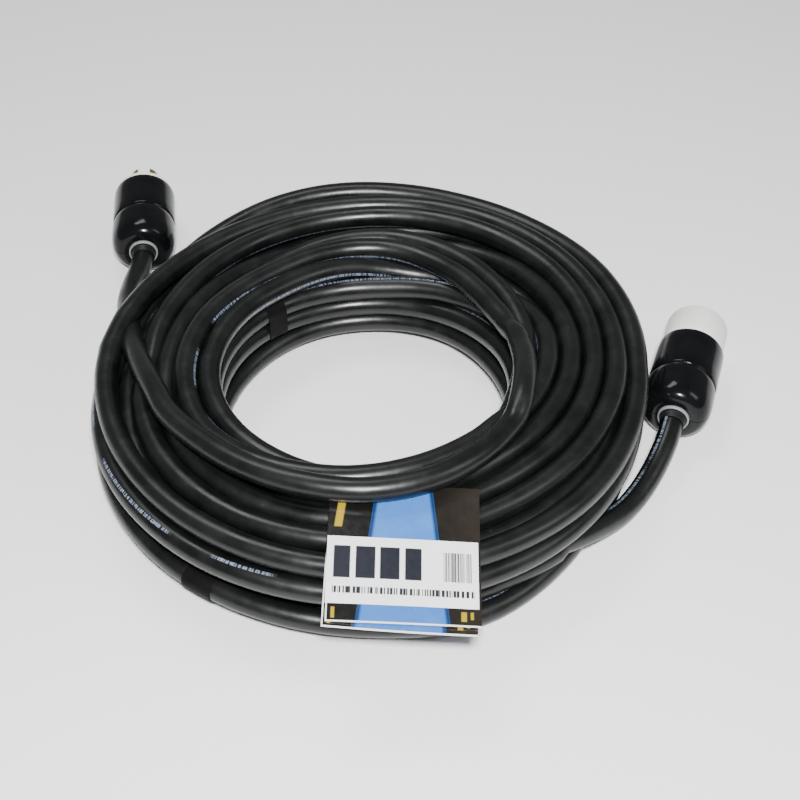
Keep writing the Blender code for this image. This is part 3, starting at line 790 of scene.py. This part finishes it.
def face_outline(name):
    if name == "plug":
        corners = [(22.4, -24), (22.4, 0.3), (25.0, 0.3), (25.2, 4.3), (24.0, 5.5)]
        return corners
    return [(24.8, 8.0), (24.75, 30.0), (24.4, 31.2), (23.9, 31.8), (23.2, 32.0)]


def cutters(front, radii, half_angle, centre, rear):
    meshes = [arc_bar("slot", radii, half_angle, rear - 1, front + 1, a) for _, a in BLADES]
    meshes.append(lathe_solid("hole", [(centre, rear - 1), (centre, front + 1)], 32))
    floor = front - 2.6
    hole = [(1.85, front - 24), (1.85, floor), (3.4, floor), (3.4, front + 1)]
    for angle in (0, 180):
        x, y = polar(FACE_SCREW_RADIUS, angle)
        meshes.append(moved(lathe_solid("screw_hole", hole, 32), Matrix.Translation((x, y, 0))))
    return joined("cutters", meshes)


def make_device(name):
    matrix = device_matrix(name)
    pieces = []

    # The black shell round the insulator, its front edge rolled over.
    shell_outline = (
        [(22.8, -0.3), (23.3, 0.0)]
        + [(24.6 + 2.4 * math.sin(a), -2.5 + 2.5 * math.cos(a)) for a in np.linspace(0, 1.45, 9)]
        + [(27.15, -8), (27.25, -18), (27.3, -30), (27.3, -39.8), (27.1, -40.8), (26.6, -41.5), (26.0, -42.0)]
        + [(25.8, -43), (22.8, -43)]
    )
    shell = add(name + "_shell_fine", lathe(name, shell_outline, 128), matrix)
    pieces.append(finished(shell, SHELL, "cord", name + "_shell"))

    # The cord clamp's two halves, split along the middle, with the screws' pockets underneath.
    clamp_corners = [
        (20, -43.3), (26.0, -43.3), (27.0, -44.2), (27.5, -47.0), (27.7, -52), (27.7, -60), (27.3, -66),
        (26.0, -71.4), (23.6, -75.6), (20.6, -78.1), (17.2, -79), (12.9, -79), (12.9, -62), (20, -62),
    ]
    soft = [0, 0.8, 1.2, 1.6, 2.4, 2.6, 2.6, 2.2, 2.0, 1.4, 0.8, 0.5, 0, 0]
    clamp_outline = rounded(clamp_corners, soft, 4)
    halves = {"base": (0.0, "cord"), "jaw": (180.0, name + "_jaw")}
    for half, (start, body) in halves.items():
        made = add(f"{name}_clamp_{half}_fine", lathe(name + half, clamp_outline, 64, 180.0, start), matrix)
        shift = Matrix.Translation((0, 0.00015 if half == "base" else -0.00015, 0))
        made.data.transform(shift)
        holes = []
        for side in (-1, 1):
            if half == "base":
                shape = [(2.6, -13), (2.6, 12), (4.4, 12), (4.4, 30)]
                turn = Matrix.Rotation(math.radians(-90), 4, "X")
            else:
                shape = [(2.6, -2), (2.6, 12)]
                turn = Matrix.Rotation(math.radians(90), 4, "X")
            hole = lathe_solid("hole", shape, 32)
            holes.append(moved(hole, Matrix.Translation((side * CLAMP_SCREW[0] * MM, 0, CLAMP_SCREW[1] * MM)) @ turn))
        carve(made, joined("holes", holes), 0.25)
        pieces.append(finished(made, SHELL, body, f"{name}_clamp_{half}"))

    # The grey ring at the back, and the black rubber inside it that tapers off along the cord.
    ring = rounded(
        [(11.1, -80.6), (12.0, -80.9), (12.65, -79.6), (12.5, -63), (11.1, -63)], [0.3, 0.5, 0.4, 0.2, 0.2], 4
    )
    grommet = add(name + "_grommet_fine", lathe(name, ring, 96), matrix)
    pieces.append(finished(grommet, GREY, "cord", name + "_grommet"))
    taper = rounded(
        [(9.2, -86.5), (9.6, -86.6), (10.0, -83.0), (10.9, -79.0), (10.9, -64), (9.2, -64)],
        [0.1, 0.2, 1.2, 1.4, 0.3, 0.2],
        4,
    )
    relief = add(name + "_relief", lathe(name + "relief", taper, 96), matrix)
    relief.data.materials.append(RELIEF)
    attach(relief, "cord")
    pieces.append(relief)

    # The white insulator with its slots, and the brass in it.
    plug = name == "plug"
    front = 5.5 if plug else 32.0
    outline = face_outline(name)
    face = add(name + "_face_fine", lathe_solid(name, outline, 128), matrix)
    if plug:
        carve(face, cutters(front, (11.4, 13.6), 21.5, 2.7, -24), 0.2)
    else:
        carve(face, cutters(front, POCKET_RADII, 23, 3.6, 8), 0.3)
    pieces.append(finished(face, NYLON, "cord", name + "_face"))
    if not plug:
        body = [(22.4, -24), (22.4, 0.3), (24.6, 0.3), (24.9, 0.9), (24.8, 7.7)]
        body = add("connector_body_fine", lathe_solid("body", body, 128), matrix)
        carve(body, cutters(front, POCKET_RADII, 23, 3.6, -24))
        pieces.append(finished(body, NYLON, "cord", "connector_body"))
    for blade, angle in BLADES:
        if plug:
            made = add(f"plug_blade_{blade}_fine", arc_bar(blade, BLADE_RADII, 20, -26.5, 27.5, angle), matrix)
            soften(made, 0.45, 3)
            pieces.append(finished(made, BRASS, "cord", f"plug_blade_{blade}"))
        else:
            made = add(f"connector_contact_{blade}_fine", arc_bar(blade, (13.4, 14.3), 20, -26.5, 27, angle), matrix)
            soften(made, 0.2, 2)
            pieces.append(finished(made, BRASS, "cord", f"connector_contact_{blade}"))
    if plug:
        pin = [(2.4, -26.5), (2.4, 26.6), (2.2, 27.8), (1.7, 28.6), (0.9, 29.0)]
        made = add("plug_ground_pin_fine", lathe_solid("pin", pin, 40), matrix)
        pieces.append(finished(made, BRASS, "cord", "plug_ground_pin"))
    else:
        sleeve = [(2.6, -26.5), (3.3, -26.5), (3.3, 26.6), (3.0, 27.0), (2.75, 27.0), (2.6, 26.5)]
        made = add("connector_ground_sleeve_fine", lathe("sleeve", sleeve, 40), matrix)
        pieces.append(finished(made, BRASS, "cord", "connector_ground_sleeve"))

    for number, angle in ((1, 0), (2, 180)):
        x, y = polar(FACE_SCREW_RADIUS, angle)
        place = matrix @ Matrix.Translation((x, y, (front - 2.3) * MM)) @ Matrix.Rotation(0.7 + number, 4, "Z")
        pieces.append(make_screw(f"{name}_face_screw_{number}", (2.9, 1.7, 1.5, 20), place, STEEL, "cord"))
    for number, side in ((1, -1), (2, 1)):
        place = (
            matrix
            @ Matrix.Translation((side * CLAMP_SCREW[0] * MM, 12.3 * MM, CLAMP_SCREW[1] * MM))
            @ Matrix.Rotation(math.radians(-90), 4, "X")
        )
        body = f"{name}_screw_{number}"
        pieces.append(make_screw(f"{name}_clamp_screw_{number}", (3.8, 3.2, 2.0, 21.5), place, STEEL, body))
    return pieces


PIECES = {name: make_device(name) for name in DEVICES}

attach(cord, "cord")
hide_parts("cord_coil", "cord_plug_tail", "cord_connector_tail")

# ------------------------------------------------------------------------------------ inner pieces

for node_name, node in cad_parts.items():
    finish = None
    if "_wire_" in node_name:
        finish = WIRE_FINISHES[node_name.rsplit("_", 1)[1]]
    elif "_terminal_screw_" in node_name:
        finish = BRASS
    if finish is not None:
        node.data.materials.clear()
        node.data.materials.append(finish)

# ------------------------------------------------------------------------------------------ hang tag

TAG_WIDTH, TAG_LENGTH, BACK_LENGTH = 104 * MM, 109.5 * MM, 114 * MM
TAG_THICKNESS = 0.5 * MM
FOLD = (
    Matrix.Translation((-0.0029, -0.1655, 0.0945))
    @ Matrix.Rotation(math.radians(4.5), 4, "Y")
    @ Matrix.Rotation(math.radians(9.5), 4, "X")
)
GAP = 0.3 * MM


def sheet_mesh(name, width, length, thickness, lift, across=26, down=28):
    """A thin card, x across and -y down from the fold, lifted by lift(u, v), with its own UV map."""
    top = [[None] * (across + 1) for _ in range(down + 1)]
    bm = bmesh.new()
    layer = bm.loops.layers.uv.new("sheet")
    places = {}
    sheets = []
    for level in (thickness / 2, -thickness / 2):
        grid = []
        for j in range(down + 1):
            row = []
            for i in range(across + 1):
                u, v = i / across, j / down
                vert = bm.verts.new(((u - 0.5) * width, -v * length, level + lift(u, v)))
                places[vert] = (u, v)
                row.append(vert)
            grid.append(row)
        sheets.append(grid)
    top, low = sheets
    for j in range(down):
        for i in range(across):
            bm.faces.new([top[j + 1][i], top[j + 1][i + 1], top[j][i + 1], top[j][i]])
            bm.faces.new([low[j][i], low[j][i + 1], low[j + 1][i + 1], low[j + 1][i]])
    rim = [(0, i) for i in range(across)] + [(j, across) for j in range(down)]
    rim += [(down, i) for i in range(across, 0, -1)] + [(j, 0) for j in range(down, 0, -1)]
    for (j, i), (jj, ii) in zip(rim, rim[1:] + rim[:1]):
        bm.faces.new([top[j][i], top[jj][ii], low[jj][ii], low[j][i]])
    for face in bm.faces:
        for loop in face.loops:
            loop[layer].uv = places[loop.vert]
    mesh = bpy.data.meshes.new(name)
    bm.to_mesh(mesh)
    bm.free()
    mesh.shade_smooth()
    mesh.set_sharp_from_angle(angle=math.radians(40))
    return mesh


def leaf_lift(u, v):
    return 0.0009 * math.sin(math.pi * u) * v + 0.0016 * v * v * (u - 0.2) ** 2


front_leaf = add(
    "tag_front_fine", sheet_mesh("tag_front", TAG_WIDTH, TAG_LENGTH, TAG_THICKNESS, leaf_lift), FOLD
)
front_leaf.data.materials.append(CARD)
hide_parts("tag_front_leaf")
# The top turn lies on the card beside its fold, so the card bends clear of it rather than at the fold.
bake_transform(front_leaf)
back_place = (
    FOLD
    @ Matrix.Rotation(math.radians(-1.2), 4, "Z")
    @ Matrix.Translation((0, 0, -(0.6 * MM + 1.5 * GAP)))
)
back_leaf = add(
    "tag_back_fine",
    sheet_mesh("tag_back", TAG_WIDTH, BACK_LENGTH, TAG_THICKNESS, lambda u, v: -0.0012 * v * math.sin(math.pi * u)),
    back_place,
)
finished(back_leaf, CARD, "cord", "tag_back_leaf")
LABEL_SIZE = (103 * MM, 52 * MM)


def label_lift(u, v):
    y = (70 * MM - LABEL_SIZE[1] / 2 + v * LABEL_SIZE[1]) / TAG_LENGTH
    return leaf_lift(u, y) + TAG_THICKNESS / 2 + 0.22 * MM


label = add(
    "tag_label_fine",
    sheet_mesh("tag_label", *LABEL_SIZE, 0.2 * MM, label_lift),
    FOLD @ Matrix.Translation((-0.001, -(70 * MM - LABEL_SIZE[1] / 2), 0)),
)
finished(label, LABEL, "tag_leaf", "tag_label")

# ------------------------------------------------------------------------------------------ tape bands

# Each band hugs a few turns that lie together: its angle and half angle about the coil's axis, and near which
# radius and height its turns are found.
TAPES = {
    "coil_tape_front": (-124, 3.4, ((0.2045, 0.009), (0.2045, 0.027))),
    "coil_tape_rear": (131, 4.6, ((0.1215, 0.060), (0.1215, 0.043), (0.1215, 0.027))),
}
TAPE_INSIDE, TAPE_OUTSIDE = 9.07 * MM, 9.50 * MM
TAPE_RINGS, TAPE_LOOP = 9, 72


def hull_loop(points, count):
    """The convex outline of the points, as evenly spaced points that start at its outermost one."""
    points = sorted(map(tuple, points))
    halves = []
    for ordered in (points, points[::-1]):
        half = []
        for x, y in ordered:
            while len(half) > 1 and (half[-1][0] - half[-2][0]) * (y - half[-2][1]) <= (
                half[-1][1] - half[-2][1]
            ) * (x - half[-2][0]):
                half.pop()
            half.append((x, y))
        halves += half[:-1]
    loop = np.array(halves)
    loop = np.roll(loop, -int(np.argmax(loop[:, 0])), axis=0)
    loop = np.vstack([loop, loop[:1]])
    run = np.concatenate([[0.0], np.cumsum(np.linalg.norm(np.diff(loop, axis=0), axis=1))])
    marks = np.linspace(0.0, run[-1], count, endpoint=False)
    return np.stack([np.interp(marks, run, loop[:, axis]) for axis in range(2)], axis=1)


def tape_mesh(name, angle, half, marks):
    out = cord_route[:, :2] - COIL_CENTRE
    r, z = np.hypot(out[:, 0], out[:, 1]), cord_route[:, 2]
    centre = math.radians(angle)
    off = (np.arctan2(out[:, 1], out[:, 0]) - centre + math.pi) % (2 * math.pi) - math.pi
    near = np.nonzero((off[:-1] * off[1:] <= 0) & (np.abs(off[:-1]) < 0.2))[0]
    picks = {int(near[np.argmin((r[near] - mr) ** 2 + (z[near] - mz) ** 2)]) for mr, mz in marks}
    ring = np.linspace(0, 2 * math.pi, 48, endpoint=False)
    verts = []
    for turn in np.linspace(-math.radians(half), math.radians(half), TAPE_RINGS):
        for radius in (TAPE_OUTSIDE, TAPE_INSIDE):
            dots = []
            for k in sorted(picks):
                near_by = slice(max(0, k - 14), k + 16)
                order = np.argsort(off[near_by])
                at_r = np.interp(turn, off[near_by][order], r[near_by][order])
                at_z = np.interp(turn, off[near_by][order], z[near_by][order])
                dots.append(np.stack([at_r + radius * np.cos(ring), at_z + radius * np.sin(ring)], axis=1))
            for far, high in hull_loop(np.concatenate(dots), TAPE_LOOP):
                x = COIL_CENTRE[0] + far * math.cos(centre + turn)
                y = COIL_CENTRE[1] + far * math.sin(centre + turn)
                verts.append((x, y, max(high, 0.0002 if radius == TAPE_INSIDE else 0.0)))
    faces = []
    for k in range(TAPE_LOOP):
        n = (k + 1) % TAPE_LOOP
        for ring_at in range(TAPE_RINGS - 1):
            for side in (0, 1):
                here = (2 * ring_at + side) * TAPE_LOOP
                there = here + 2 * TAPE_LOOP
                faces.append((here + k, here + n, there + n, there + k))
        for start in (0, 2 * (TAPE_RINGS - 1) * TAPE_LOOP):
            faces.append((start + k, start + n, start + TAPE_LOOP + n, start + TAPE_LOOP + k))
    return mesh_of(name, verts, faces)


for node_name, (angle, half, marks) in TAPES.items():
    band = add(node_name + "_fine", tape_mesh(node_name, angle, half, marks))
    finished(band, TAPE, "cord", node_name)

# --------------------------------------------------------------------------------- floor and lights

floor_mesh = mesh_of("floor", [(-4, -4, 0), (4, -4, 0), (4, 4, 0), (-4, 4, 0)], [(0, 1, 2, 3)])
floor = add("floor", floor_mesh)
floor.location.z = -0.0003
floor_look = Nodes("floor_white", (0.93, 0.93, 0.93), 0.42)
floor_look.rough(floor_look.spread(floor_look.noise(6, 3, 0.5), 0.3, 0.7, 0.38, 0.46))
floor.data.materials.append(floor_look.made)


def area_light(name, place, target, size, power, colour=(1, 1, 1)):
    data = bpy.data.lights.new(name, "AREA")
    data.shape = "RECTANGLE"
    data.size, data.size_y = size
    data.energy = power
    data.color = colour
    obj = bpy.data.objects.new(name, data)
    SCENE.collection.objects.link(obj)
    obj.location = place
    obj.rotation_euler = (Vector(target) - Vector(place)).to_track_quat("-Z", "Y").to_euler()
    return obj


area_light("flash", (0.02, -1.02, 1.24), (0.05, -0.05, 0), (0.16, 0.10), 56)
area_light("overhead", (-0.5, 0.75, 1.9), (0, 0, 0), (1.1, 0.5), 15)
area_light("window", (1.7, -0.6, 1.5), (0, 0, 0), (0.5, 1.0), 8)

world = bpy.data.worlds.new("studio")
world.use_nodes = True
world.node_tree.nodes["Background"].inputs["Color"].default_value = (0.95, 0.97, 1.0, 1.0)
world.node_tree.nodes["Background"].inputs["Strength"].default_value = 0.24
SCENE.world = world
